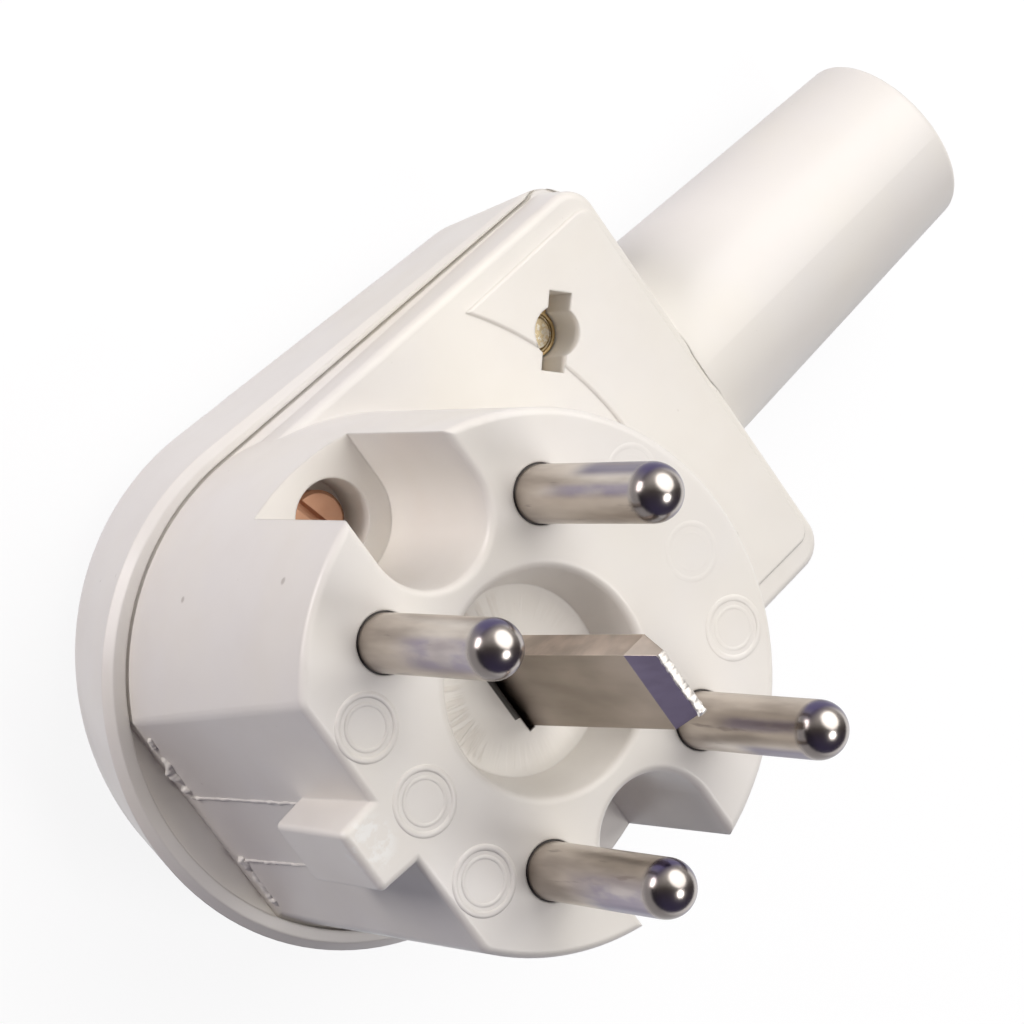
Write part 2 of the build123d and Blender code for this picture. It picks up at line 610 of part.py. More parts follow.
with BuildPart() as retainer_screw:
    with BuildSketch(Plane.XY.offset(RETAINER_TOP_Z - RETAINER_T - RETAINER_HEAD_H - STEP_GAP)):
        Circle(RETAINER_HEAD_R)
    extrude(amount=RETAINER_HEAD_H)
    with BuildSketch(Plane.XY.offset(RETAINER_TOP_Z - RETAINER_T - RETAINER_HEAD_H)):
        Circle(RETAINER_SHANK_R)
    extrude(amount=RETAINER_SHANK_TOP_Z - RETAINER_TOP_Z + RETAINER_T + RETAINER_HEAD_H)
    chamfer(retainer_screw.faces().sort_by(Axis.Z)[-1].edges(), RETAINER_POINT)
    with BuildSketch(Plane.XY.offset(RETAINER_TOP_Z - RETAINER_T - RETAINER_HEAD_H - STEP_GAP)):
        Rectangle(3 * RETAINER_HEAD_R, GRUB_SLOT_W)
    extrude(amount=GRUB_SLOT_DEPTH, mode=Mode.SUBTRACT)

# cover screw, put in from the nose side
with BuildPart() as cover_screw:
    with BuildSketch(Plane.XY.offset(WELL_FLOOR_Z + STEP_GAP)):
        Circle(SCREW_HEAD_R)
    extrude(amount=SCREW_HEAD_H)
    chamfer(cover_screw.faces().sort_by(Axis.Z)[-1].edges(), SCREW_HEAD_CHAMFER)
    with BuildSketch(Plane.XY.offset(SCREW_END_Z)):
        Circle(SCREW_R)
    extrude(amount=WELL_FLOOR_Z + OVERLAP - SCREW_END_Z)
    chamfer(cover_screw.faces().sort_by(Axis.Z)[0].edges(), SCREW_END_CHAMFER)
    with BuildSketch(Plane.XY.offset(WELL_FLOOR_Z + STEP_GAP + SCREW_HEAD_H)):
        Rectangle(3 * SCREW_HEAD_R, SCREW_SLOT_W, rotation=SCREW_SLOT_TURN)
    extrude(amount=-SCREW_SLOT_DEPTH, mode=Mode.SUBTRACT)

# threaded insert of the rear cover
with BuildPart() as cover_insert:
    with BuildSketch(Plane.XY.offset(SEAT_Z - STEP_GAP - INSERT_LENGTH)):
        Circle(INSERT_R)
        Circle(SCREW_R + GRUB_CLEAR, mode=Mode.SUBTRACT)
    extrude(amount=INSERT_LENGTH)

# nut of the cord clamp: a round body with two wings that the slot keeps from turning
with BuildPart() as clamp_nut:
    with BuildSketch(Plane.XY.offset(NUT_SEAT_Z + STEP_GAP)):
        add(
            keyhole_plan(
                KEYHOLE_R - NUT_GAP, KEYHOLE_SLOT_L - 2 * NUT_GAP, KEYHOLE_SLOT_W - 2 * NUT_GAP
            )
        )
        Circle(CLAMP_SCREW_R + GRUB_CLEAR, mode=Mode.SUBTRACT)
    extrude(amount=NUT_H)

with BuildPart() as clamp_bar:
    with BuildSketch(Plane.XY.offset(BAR_BOTTOM_Z)):
        with Locations((CLAMP_X, 0)):
            RectangleRounded(BAR_W, BAR_LENGTH, BAR_CORNER_R)
    extrude(amount=BAR_H)
    with BuildSketch(Plane.YZ.offset(CLAMP_X - BAR_W)):
        with Locations((0, SLEEVE_Z)):
            Circle(CABLE_R)
    extrude(amount=2 * BAR_W, mode=Mode.SUBTRACT)
    with Locations(
        Location((CLAMP_X, CLAMP_Y, BAR_BOTTOM_Z), (180, 0, 0)),
        Location((CLAMP_X, -CLAMP_Y, BAR_BOTTOM_Z), (180, 0, 0)),
    ):
        CounterBoreHole(
            CLAMP_SCREW_R + BAR_PLAY,
            CLAMP_HEAD_R + BAR_PLAY,
            CLAMP_HEAD_BOTTOM_Z + CLAMP_HEAD_H + STEP_GAP - BAR_BOTTOM_Z,
            BAR_H + REACH,
        )
clamp_bar.part.label = "clamp_bar"

with BuildPart() as clamp_screw:
    with BuildSketch(Plane.XY.offset(CLAMP_HEAD_BOTTOM_Z)):
        Circle(CLAMP_HEAD_R)
    extrude(amount=CLAMP_HEAD_H)
    with BuildSketch(Plane.XY.offset(CLAMP_HEAD_BOTTOM_Z)):
        Circle(CLAMP_SCREW_R)
    extrude(amount=CLAMP_SCREW_TOP_Z - CLAMP_HEAD_BOTTOM_Z)
    chamfer(clamp_screw.faces().sort_by(Axis.Z)[-1].edges(), SCREW_END_CHAMFER)
    with BuildSketch(Plane.XY.offset(CLAMP_HEAD_BOTTOM_Z)):
        Rectangle(3 * CLAMP_HEAD_R, CLAMP_SLOT_W)
    extrude(amount=GRUB_SLOT_DEPTH, mode=Mode.SUBTRACT)

pieces = [
    front_housing.part,
    rear_cover.part,
    cable_sleeve.part,
    earth_blade.part,
    retainer_plate.part,
    clamp_bar.part,
]


def place(shape, label, x=0.0, y=0.0, mirrored=False):
    """Adds a copy of a finished piece at x, y."""
    piece = mirror(shape, about=Plane.XZ) if mirrored else copy(shape)
    piece = piece.moved(Location((x, y, 0)))
    piece.label = label
    pieces.append(piece)


for name, x_side, y_side in (("l1", 1, 1), ("l2", -1, 1), ("l3", -1, -1), ("n", 1, -1)):
    place(pin.part, f"pin_{name}", x_side * PIN_X, y_side * PIN_Y)
    place(grub.part, f"terminal_screw_{name}", x_side * PIN_X, y_side * PIN_Y)
place(grub.part, "terminal_screw_earth")
for name, y_side in (("upper", 1), ("lower", -1)):
    place(cover_screw.part, f"cover_screw_{name}", 0, y_side * SCREW_Y)
    place(cover_insert.part, f"cover_insert_{name}", 0, y_side * SCREW_Y)
    place(clamp_nut.part, f"clamp_nut_{name}", CLAMP_X, y_side * CLAMP_Y, mirrored=y_side < 0)
    place(clamp_screw.part, f"clamp_screw_{name}", CLAMP_X, y_side * CLAMP_Y)
for name, x_side in (("cable_side", 1), ("key_side", -1)):
    place(retainer_screw.part, f"retainer_screw_{name}", x_side * RETAINER_SCREW_X, 0)

os.makedirs("parts", exist_ok=True)
for piece in pieces:
    export_step(piece, f"parts/{piece.label}.step")
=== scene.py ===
import math

import bmesh
import bpy
from mathutils import Matrix, Vector, noise


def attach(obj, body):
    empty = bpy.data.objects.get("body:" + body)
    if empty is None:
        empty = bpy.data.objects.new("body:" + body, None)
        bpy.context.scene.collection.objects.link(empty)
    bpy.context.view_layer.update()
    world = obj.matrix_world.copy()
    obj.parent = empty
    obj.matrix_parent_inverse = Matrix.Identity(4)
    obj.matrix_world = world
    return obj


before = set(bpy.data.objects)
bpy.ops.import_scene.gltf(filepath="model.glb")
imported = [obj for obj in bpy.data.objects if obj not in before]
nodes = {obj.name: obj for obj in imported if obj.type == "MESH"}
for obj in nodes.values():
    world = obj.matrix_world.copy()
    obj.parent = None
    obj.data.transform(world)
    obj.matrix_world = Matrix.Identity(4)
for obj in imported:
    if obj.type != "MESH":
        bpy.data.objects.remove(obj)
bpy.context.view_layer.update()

MM = 0.001

# places on the part, in millimetres
FACE_Z = 50.0
RECESS_FLOOR_Z = 45.0
FACET_X = 18.65         # from the nose's axis to its flat side, at the face
FACET_LEAN = math.tan(math.radians(3.1))
BLADE_TIP_Z = 69.28


# camera: the photograph's place, turn and lens, in the frame of the part
PHOTO_PX = 1024
FOCAL_PX = 3803.29
SENSOR_MM = 36.0
CAMERA_AT = Vector((-116.564, 113.822, 322.190)) * MM
RIGHT = Vector((0.665239, -0.550482, 0.504406)).normalized()
DOWN = Vector((-0.636512, -0.771264, -0.002249))
DOWN = (DOWN - RIGHT * DOWN.dot(RIGHT)).normalized()
FORWARD = RIGHT.cross(DOWN).normalized()


def make_camera():
    data = bpy.data.cameras.new("camera")
    data.sensor_width = SENSOR_MM
    data.lens = FOCAL_PX / PHOTO_PX * SENSOR_MM
    data.clip_start = 0.01
    data.clip_end = 20.0
    camera = bpy.data.objects.new("camera", data)
    turn = Matrix((RIGHT, -DOWN, -FORWARD)).transposed()
    camera.matrix_world = Matrix.Translation(CAMERA_AT) @ turn.to_4x4()
    bpy.context.scene.collection.objects.link(camera)
    bpy.context.scene.camera = camera


# short names for material nodes
class Graph:
    """The nodes of one material."""

    def __init__(self, name):
        self.material = bpy.data.materials.new(name)
        self.material.use_nodes = True
        self.tree = self.material.node_tree
        self.shader = self.tree.nodes["Principled BSDF"]
        self.place = self.tree.nodes.new("ShaderNodeTexCoord").outputs["Object"]

    def add(self, kind, inputs=(), **settings):
        node = self.tree.nodes.new(kind)
        for key, value in settings.items():
            setattr(node, key, value)
        for key, value in dict(inputs).items():
            self.put(node.inputs[key], value)
        return node

    def put(self, socket, value):
        if isinstance(value, bpy.types.NodeSocket):
            self.tree.links.new(value, socket)
        else:
            socket.default_value = value

    def set(self, key, value):
        self.put(self.shader.inputs[key], value)

    def noise(self, scale, detail=2.0, stretch=(1, 1, 1), at=None, rough=0.5):
        mapping = self.add("ShaderNodeMapping", {"Vector": at or self.place, "Scale": stretch})
        node = self.add(
            "ShaderNodeTexNoise",
            {"Vector": mapping.outputs[0], "Scale": scale, "Detail": detail, "Roughness": rough},
        )
        return node.outputs["Fac"]

    def math(self, operation, a, b=0.0):
        return self.add("ShaderNodeMath", {0: a, 1: b}, operation=operation).outputs[0]

    def product(self, first, *others):
        for other in others:
            first = self.math("MULTIPLY", first, other)
        return first

    def ramp(self, value, low, high, to_low=0.0, to_high=1.0):
        """Smooth step from to_low, where the value is low, to to_high, where it is high."""
        node = self.add(
            "ShaderNodeMapRange",
            {"Value": value, "From Min": low, "From Max": high, "To Min": to_low, "To Max": to_high},
            interpolation_type="SMOOTHSTEP",
        )
        return node.outputs["Result"]

    def ramp_mm(self, value, low, high):
        """Smooth step from 0 to 1 between two places given in millimetres."""
        return self.ramp(value, low * MM, high * MM)

    def axes(self):
        return self.add("ShaderNodeSeparateXYZ", {0: self.place}).outputs

    def normal(self):
        return self.add("ShaderNodeTexCoord").outputs["Normal"]

    def mix(self, amount, a, b):
        node = self.add("ShaderNodeMix", data_type="RGBA")
        self.put(node.inputs["Factor"], amount)
        self.put(node.inputs[6], a)
        self.put(node.inputs[7], b)
        return node.outputs[2]

    def spot(self, at, radius, soft=0.5):
        """1 inside a ball about a point given in millimetres, 0 outside."""
        node = self.add("ShaderNodeVectorMath", {0: self.place, 1: Vector(at) * MM}, operation="DISTANCE")
        return self.ramp(node.outputs["Value"], radius * MM * (1 + soft), radius * MM * (1 - soft))

    def bump(self, height, distance, strength=1.0, after=None):
        node = self.add("ShaderNodeBump", {"Height": height, "Distance": distance, "Strength": strength})
        if after is not None:
            self.put(node.inputs["Normal"], after)
        return node.outputs[0]

    def rounded(self, radius):
        """Normals as on edges rounded by a radius in millimetres."""
        return self.add("ShaderNodeBevel", {"Radius": radius * MM}, samples=6).outputs[0]


# plastics
WARM_WHITE = (0.85, 0.82, 0.77, 1)
COOL_WHITE = (0.835, 0.81, 0.785, 1)
RUBBED_WHITE = (0.93, 0.93, 0.91, 1)
STAINED = (0.62, 0.55, 0.47, 1)
SPECK = (0.30, 0.25, 0.22, 1)
# painted shade of the gap beside the blade
PAINTED_SLOT_SHADE = (0.03, 0.024, 0.02, 1)

# where the side of the nose has dark specks: centre and radius in millimetres, and how dark
NOSE_SPECKS = (
    ((-11.06, 20.24, 43.73), 0.3, 0.55),
    ((-12.87, 19.37, 26.35), 0.26, 0.55),
    ((-20.3, 4.4, 22.0), 0.15, 0.4),
)
RUBBED_AT = (-21.0, 0.8, FACE_Z)
RUBBED_R = 2.2

# the lines in the recess: between which radii they fade in and out
LINES_IN_R = (5.0, 6.0)
LINES_OUT_R = (8.1, 7.4)
LINES_DEPTH = 0.0001    # in metres

# painted shade of the gap on the key side of the blade, on the floor of the recess: where it sets in,
# how far it reaches from the middle of the part, the step past which it reaches less far, and its ends
GAP_FROM_X = (-1.0, -1.2)
GAP_REACH = 2.25
GAP_REACH_PAST_STEP = 1.75
GAP_STEP_Y = (-2.7, -2.5)
GAP_END_Y = (4.3, 4.15)


def plastic(name, round_mm, roughness=(0.29, 0.39), worn=0.3, marks=None):
    """Glossy moulded plastic: slight mottling, fine unevenness, dust and handling marks."""
    g = Graph(name)
    colour = g.mix(g.ramp(g.noise(60, 3), 0.35, 0.65), WARM_WHITE, COOL_WHITE)
    colour = g.mix(g.ramp(g.noise(200, 2), 0.3, 0.9, 0.0, worn * 0.3), colour, STAINED)
    dust = g.ramp(g.noise(1300, 1), 0.80, 0.86, 0.0, worn)
    colour = g.mix(dust, colour, SPECK)
    height = g.product(g.noise(170, 2), 0.00003)
    if marks:
        colour, height = marks(g, colour, height)
    g.set("Base Color", colour)
    g.set("Roughness", g.ramp(g.noise(140, 3), 0.3, 0.7, *roughness))
    g.set("Specular IOR Level", 0.5)
    g.set("IOR", 1.5)
    flow = g.bump(height, 1.0, 0.6, after=g.rounded(round_mm))
    g.set("Normal", g.bump(g.noise(900, 2), 0.000008, 0.6, after=flow))
    return g


def nose_marks(g, colour, height):
    """Specks, lines in the recess, painted shade of the gap beside the blade and the rubbed corner of the
    key.
    """
    for at, radius, dark in NOSE_SPECKS:
        colour = g.mix(g.product(g.spot(at, radius), dark), colour, SPECK)
    lines = recess_lines(g)
    colour = g.mix(g.product(lines, 0.25), colour, STAINED)
    height = g.math("ADD", height, g.product(lines, LINES_DEPTH))
    # painted shade of the slot beside the blade, dark on the floor of the recess
    colour = g.mix(g.product(painted_slot_shade(g), 0.97), colour, PAINTED_SLOT_SHADE)
    rubbed = g.product(g.spot(RUBBED_AT, RUBBED_R, 0.35), g.ramp(g.noise(700, 3, rough=0.7), 0.42, 0.6))
    return g.mix(g.product(rubbed, 0.8), colour, RUBBED_WHITE), height


def on_recess_floor(g, z):
    return g.ramp_mm(z, RECESS_FLOOR_Z + 0.3, RECESS_FLOOR_Z + 0.1)


def recess_lines(g):
    """Faint lines that run out from the blade over the floor of the recess."""
    x, y, z = g.axes()
    angle = g.math("ARCTAN2", y, x)
    radius = g.math("SQRT", g.math("ADD", g.product(x, x), g.product(y, y)))
    ring = g.product(g.ramp_mm(radius, *LINES_IN_R), g.ramp_mm(radius, *LINES_OUT_R))
    side = g.ramp(g.math("SUBTRACT", y, x), 2.0 * MM, 6.0 * MM, 0.15, 1.0)
    where = g.product(on_recess_floor(g, z), ring, side)
    drawn_out = g.add("ShaderNodeCombineXYZ", {"X": g.product(angle, 0.02), "Y": g.product(radius, 0.3)})
    return g.product(g.ramp(g.noise(700, 1, at=drawn_out.outputs[0]), 0.4, 0.6), where)


def painted_slot_shade(g):
    """Painted shade of the gap beside the blade in its slot, with a step near the end towards pins L3 and
    N.
    """
    x, y, z = g.axes()
    past, before = GAP_STEP_Y
    reach = g.ramp(y, past * MM, before * MM, GAP_REACH_PAST_STEP * MM, GAP_REACH * MM)
    inside = g.product(g.ramp_mm(g.math("ADD", x, reach), -0.08, 0.08), g.ramp_mm(x, *GAP_FROM_X))
    ends = g.ramp_mm(g.math("ABSOLUTE", y), *GAP_END_Y)
    return g.product(inside, ends, on_recess_floor(g, z))


# metals
NICKEL = (0.64, 0.58, 0.52, 1)
NICKEL_DULL = (0.40, 0.35, 0.31, 1)
NICKEL_DOME = (0.50, 0.46, 0.44, 1)
# painted reflection: the dark rim round the pins' domes
PAINTED_DOME_RIM_REFLECTION = (0.10, 0.085, 0.085, 1)
# painted reflections of the room: a pale lavender band and a dark one on the pins, the dark one also on the
# domes' rims
PAINTED_PALE_REFLECTION = (0.24, 0.21, 0.30, 1)
PAINTED_DARK_REFLECTION = (0.09, 0.075, 0.16, 1)
PIN_FOOT_BROWN = (0.24, 0.19, 0.15, 1)
SCRATCHED = (0.22, 0.18, 0.17, 1)
# painted shade of the gap round each pin's foot
PAINTED_PIN_GAP_SHADE = (0.03, 0.022, 0.02, 1)
DOME_ROUGHNESS = (0.22, 0.22, 0.22, 1)

BLADE_NICKEL = (0.52, 0.455, 0.40, 1)
BLADE_CLOUDED = (0.33, 0.285, 0.24, 1)
# painted highlight on the blade's narrow side
PAINTED_EDGE_HIGHLIGHT = (0.74, 0.63, 0.55, 1)
# painted reflection on the bevel of the blade's tip
PAINTED_BEVEL_REFLECTION = (0.12, 0.10, 0.175, 1)
# painted shade at the blade's foot
PAINTED_BLADE_FOOT_SHADE = (0.16, 0.12, 0.10, 1)

THREAD_PITCH_MM = 0.5
THREAD_SPARKLE = (0.97, 0.94, 0.86, 1)
BRIGHT_BRASS = (0.86, 0.74, 0.50, 1)
BRIGHT_BRASS_WORN = (0.50, 0.38, 0.22, 1)
BRASS = (0.66, 0.50, 0.26, 1)
BRASS_WORN = (0.42, 0.30, 0.18, 1)
COPPER = (0.62, 0.36, 0.24, 1)
COPPER_WORN = (0.40, 0.22, 0.15, 1)
STEEL = (0.50, 0.50, 0.51, 1)
STEEL_WORN = (0.40, 0.38, 0.37, 1)
TORN_METAL = (0.95, 0.93, 0.90, 1)
TORN_METAL_DULL = (0.66, 0.60, 0.54, 1)

# painted reflections on the pins, as bands: the side of a pin from which they are placed, and the heights
# where they set in
BANDS_FROM = (-0.637, -0.771, 0.0)
PALE_Z_CABLE_SIDE = (53.0, 60.0)
PALE_Z_KEY_SIDE = (54.5, 61.0)
DARK_Z = (57.0, 61.0)
SHAFT_END_Z = (68.3, 67.3)
BEVEL_Z = (66.3, 66.5)


def metal(
    name, colour, other, roughness, stretch=(1, 1, 1), scale=900, depth=0.000012, tint=0.5, patch=130
):
    """Plated or turned metal with marks drawn out along one axis."""
    g = Graph(name)
    marks = g.noise(scale, 4, stretch)
    patches = g.noise(patch, 3, stretch=(stretch[0], stretch[1], stretch[2] ** 0.5))
    g.colour = g.mix(g.ramp(patches, 0.35, 0.7, 0.0, tint), colour, other)
    g.rough = g.ramp(marks, 0.25, 0.75, *roughness)
    g.set("Base Color", g.colour)
    g.set("Metallic", 1.0)
    g.set("Roughness", g.rough)
    g.set("Normal", g.bump(marks, depth, 0.5, after=g.rounded(0.12)))
    return g


def painted_reflection_bands(g, shaft):
    """Where the shafts have their painted reflections: a pale lavender band and a dark one."""
    x, y, z = g.axes()
    turn = g.add(
        "ShaderNodeVectorMath", {0: g.normal(), 1: BANDS_FROM}, operation="DOT_PRODUCT"
    ).outputs["Value"]
    cable_side = g.ramp_mm(x, -1.0, 1.0)
    key_side = g.math("SUBTRACT", 1.0, cable_side)
    upper = g.ramp_mm(y, -1.0, 1.0)
    lower = g.math("SUBTRACT", 1.0, upper)
    uneven = g.ramp(g.noise(600, 3, (1, 1, 0.3)), 0.35, 0.6, 0.45, 1.0)
    narrow = g.product(g.ramp(turn, -0.4, -0.15), g.ramp(turn, 0.25, 0.0))
    wide = g.product(g.ramp(turn, -0.45, -0.1), g.ramp(turn, 0.95, 0.6))
    pale_reflection = g.math(
        "MAXIMUM",
        g.product(shaft, cable_side, narrow, g.ramp_mm(z, *PALE_Z_CABLE_SIDE), uneven),
        g.product(shaft, key_side, wide, g.ramp_mm(z, *PALE_Z_KEY_SIDE), uneven),
    )
    near_tip = g.ramp_mm(z, *DARK_Z)
    dark = g.math(
        "MAXIMUM",
        g.product(shaft, cable_side, upper, g.ramp(turn, -0.45, -0.75), near_tip),
        g.product(shaft, lower, g.ramp(turn, 0.55, 0.8), near_tip),
    )
    return pale_reflection, dark


def pin_metal():
    """Nickel with painted reflections as lavender and dark bands near the tip and a dark dome rim, mottled
    darker near the face, and painted gap shade at the foot.
    """
    g = metal("nickel_pin", NICKEL, NICKEL_DULL, (0.285, 0.42), (1, 1, 0.04), tint=1.0, patch=420)
    z = g.axes()[2]
    across = g.add("ShaderNodeSeparateXYZ", {0: g.normal()}).outputs
    shaft = g.ramp_mm(z, *SHAFT_END_Z)
    dome = g.math("SUBTRACT", 1.0, shaft)
    # painted reflections: pale lavender and dark bands along the shafts
    pale_reflection, dark = painted_reflection_bands(g, shaft)
    colour = g.mix(g.product(pale_reflection, 0.75), g.colour, PAINTED_PALE_REFLECTION)
    colour = g.mix(g.product(dark, 0.8), colour, PAINTED_DARK_REFLECTION)
    # mottled, darker brown towards the face
    darker_near_face = g.product(g.ramp_mm(z, FACE_Z + 2.2, FACE_Z), g.noise(500, 3))
    colour = g.mix(g.product(darker_near_face, 0.8), colour, PIN_FOOT_BROWN)
    scratch = g.ramp(g.noise(1300, 3, (1, 1, 0.12)), 0.64, 0.74)
    colour = g.mix(g.product(scratch, 0.5), colour, SCRATCHED)
    colour = g.mix(g.product(dome, 0.8), colour, NICKEL_DOME)
    # painted reflection: the dome darker where it turns sideways, dark violet on its cable side
    painted_rim_reflection = g.product(dome, g.ramp(across[2], 0.78, 0.5))
    colour = g.mix(g.product(painted_rim_reflection, 0.75), colour, PAINTED_DOME_RIM_REFLECTION)
    painted_cable_side_rim_reflection = g.product(painted_rim_reflection, g.ramp(across[0], -0.5, 0.1))
    colour = g.mix(g.product(painted_cable_side_rim_reflection, 0.9), colour, PAINTED_DARK_REFLECTION)
    g.set("Roughness", g.mix(dome, g.rough, DOME_ROUGHNESS))
    # painted shade: a dark, not metallic band where the pin enters the face, for the gap round it
    painted_gap_shade = g.ramp_mm(z, FACE_Z + 0.12, FACE_Z + 0.04)
    g.set("Base Color", g.mix(painted_gap_shade, colour, PAINTED_PIN_GAP_SHADE))
    g.set("Metallic", g.math("SUBTRACT", 1.0, painted_gap_shade))
    return g


def blade_metal():
    """Drawn nickel with cloudy brown patches, a painted highlight on one narrow side, a painted lavender
    reflection on the bevel and painted shade at the foot.
    """
    g = metal("nickel_blade", BLADE_NICKEL, BLADE_CLOUDED, (0.29, 0.44), (1, 1, 0.15), tint=0.9, patch=170)
    z = g.axes()[2]
    facing = g.add("ShaderNodeSeparateXYZ", {0: g.normal()}).outputs
    # painted highlight: paler on the narrow side that faces +Y
    painted_edge_highlight = g.product(g.ramp(facing[1], 0.5, 0.8), g.ramp(g.noise(330, 3), 0.3, 0.7, 0.3, 1.0))
    colour = g.mix(painted_edge_highlight, g.colour, PAINTED_EDGE_HIGHLIGHT)
    # painted reflection: lavender on the tip's bevel faces that turn towards the key
    painted_bevel_reflection = g.product(g.ramp_mm(z, *BEVEL_Z), g.ramp(facing[0], -0.5, -0.8))
    colour = g.mix(g.product(painted_bevel_reflection, 0.92), colour, PAINTED_BEVEL_REFLECTION)
    # painted shade: darker towards the blade's foot, down in the recess
    foot = g.ramp_mm(z, RECESS_FLOOR_Z + 4.5, RECESS_FLOOR_Z)
    g.set("Base Color", g.mix(g.product(foot, 0.75), colour, PAINTED_BLADE_FOOT_SHADE))
    return g


def thread_brass():
    """Brass with the turns of a thread and bright chips."""
    g = metal("threaded_brass", BRIGHT_BRASS, BRIGHT_BRASS_WORN, (0.16, 0.34), patch=900)
    chips = g.ramp(g.noise(2600, 2), 0.5, 0.6)
    g.set("Base Color", g.mix(g.product(chips, 0.8), g.colour, THREAD_SPARKLE))
    turns = g.math("SINE", g.product(g.axes()[2], 2 * math.pi / (THREAD_PITCH_MM * MM)))
    g.set("Normal", g.bump(turns, 0.00012, 1.0))
    return g


# materials of the CAD nodes
def dress(names, graph):
    for name in names:
        node = nodes[name]
        if not node.material_slots:
            node.data.materials.append(graph.material)
        for slot in node.material_slots:
            slot.material = graph.material


def named(*starts):
    return [name for name in nodes if name.startswith(starts)]


housing = plastic("moulded_housing", 0.3, marks=nose_marks)
cover = plastic("moulded_cover", 0.35)
sleeve = plastic("moulded_sleeve", 0.3, roughness=(0.33, 0.40), worn=0.15)
inner = plastic("inner_moulding", 0.2, worn=0.1)
steel = metal("plain_steel", STEEL, STEEL_WORN, (0.25, 0.4))
copper = metal("coppery_screw", COPPER, COPPER_WORN, (0.3, 0.5), tint=0.8)
brass = metal("turned_brass", BRASS, BRASS_WORN, (0.22, 0.4))
burr = metal("bare_burr", TORN_METAL, TORN_METAL_DULL, (0.42, 0.6), scale=1800, depth=0.00002)
dress(["front_housing"], housing)
dress(["rear_cover"], cover)
dress(["cable_sleeve"], sleeve)
dress(["retainer_plate", "clamp_bar"], inner)
dress(named("pin_"), pin_metal())
dress(["earth_blade"], blade_metal())
dress(named("terminal_screw", "retainer_screw"), steel)
dress(named("cover_screw"), copper)
dress(named("cover_insert", "clamp_nut"), brass)
dress(named("clamp_screw"), thread_brass())


# raised marks and moulding flash: ridges whose open underside lies in the surface
SUNK = 0.02
PROFILE = [(math.cos(math.pi * k / 8), math.sin(math.pi * k / 8)) for k in range(9)]


def add_piece(name, rings, graph, closed):
    """Mesh from cross-sections that follow one another, all with the same number of points."""
    mesh = bpy.data.meshes.new(name)
    count = len(rings[0])
    points = [tuple(v * MM for v in point) for ring in rings for point in ring]
    faces = []
    last = len(rings) if closed else len(rings) - 1
    for i in range(last):
        j = (i + 1) % len(rings)
        for k in range(count - 1):
            faces.append((i * count + k, j * count + k, j * count + k + 1, i * count + k + 1))
    mesh.from_pydata(points, [], faces)
    mesh.validate()
    body = bmesh.new()
    body.from_mesh(mesh)
    bmesh.ops.recalc_face_normals(body, faces=body.faces)
    body.to_mesh(mesh)
    body.free()
    for face in mesh.polygons:
        face.use_smooth = True
    mesh.materials.append(graph.material)
    piece = bpy.data.objects.new(name, mesh)
    bpy.context.scene.collection.objects.link(piece)
    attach(piece, "root")


def ridge(name, path, out, graph, closed=False):
    """Rounded ridge on a surface. path holds (point, half width, height, side direction)."""
    rings = []
    for point, half, high, side in path:
        ring = []
        for a, b in PROFILE:
            ring.append(tuple(point[i] + side[i] * half * a + out[i] * (high * b - SUNK) for i in range(3)))
        rings.append(ring)
    add_piece(name, rings, graph, closed)


def wobble(a, b):
    return noise.noise(Vector((a, b, 0.37)))


# rings round the discs on the face: x, y, radius and height
RING_STEPS = 72
FACE_RINGS = (
    (-15.2, 8.3, 2.7, 0.16),
    (-15.0, 0.1, 2.75, 0.14),
    (-15.0, -8.7, 2.8, 0.15),
    (17.1, -8.6, 2.6, 0.085),
    (17.6, 8.2, 2.3, 0.04),
    (18.0, -0.8, 2.4, 0.04),
)
OUTER_RING_HALF = 0.3
INNER_RING_HALF = 0.2
INNER_RING_IN = 0.8
INNER_RING_SHARE = 0.6      # of the outer ring's height


def face_ring(name, x, y, radius, half, high):
    path = []
    for k in range(RING_STEPS):
        a = 2 * math.pi * k / RING_STEPS
        side = (math.cos(a), math.sin(a), 0)
        wave = noise.noise(Vector((x + 3 * side[0], y + 3 * side[1], radius)))
        point = (x + radius * side[0], y + radius * side[1], FACE_Z)
        path.append((point, half, high * (1 + 0.3 * wave), side))
    ridge(name, path, (0, 0, 1), housing, closed=True)


for index, (x, y, radius, high) in enumerate(FACE_RINGS):
    face_ring(f"face_ring_{index}", x, y, radius, OUTER_RING_HALF, high)
    face_ring(
        f"face_ring_inner_{index}", x, y, radius - INNER_RING_IN, INNER_RING_HALF, high * INNER_RING_SHARE
    )


# lines and flash on the facet
LINE_STEPS = 90
FLASH_STEP = 0.06
LINE_FOOT_Z = 18.0


def on_facet(y, z):
    return (-FACET_X - (FACE_Z - z) * FACET_LEAN, y, z)


def mould_line(name, y, top):
    """Thin uneven line down the facet, where two parts of the mould met."""
    path = []
    for k in range(LINE_STEPS + 1):
        z = top + (LINE_FOOT_Z - top) * k / LINE_STEPS
        nick = max(0.0, wobble(z * 2.1, y + 9) - 0.2)
        high = 0.13 + 0.06 * wobble(z * 1.7, y) + 0.25 * nick
        half = 0.15 + 0.04 * wobble(z * 2.3, y)
        path.append((on_facet(y + 0.08 * wobble(z, y + 4), z), half, high, (0, 1, 0)))
    ridge(name, path, (-1, 0, 0), housing)


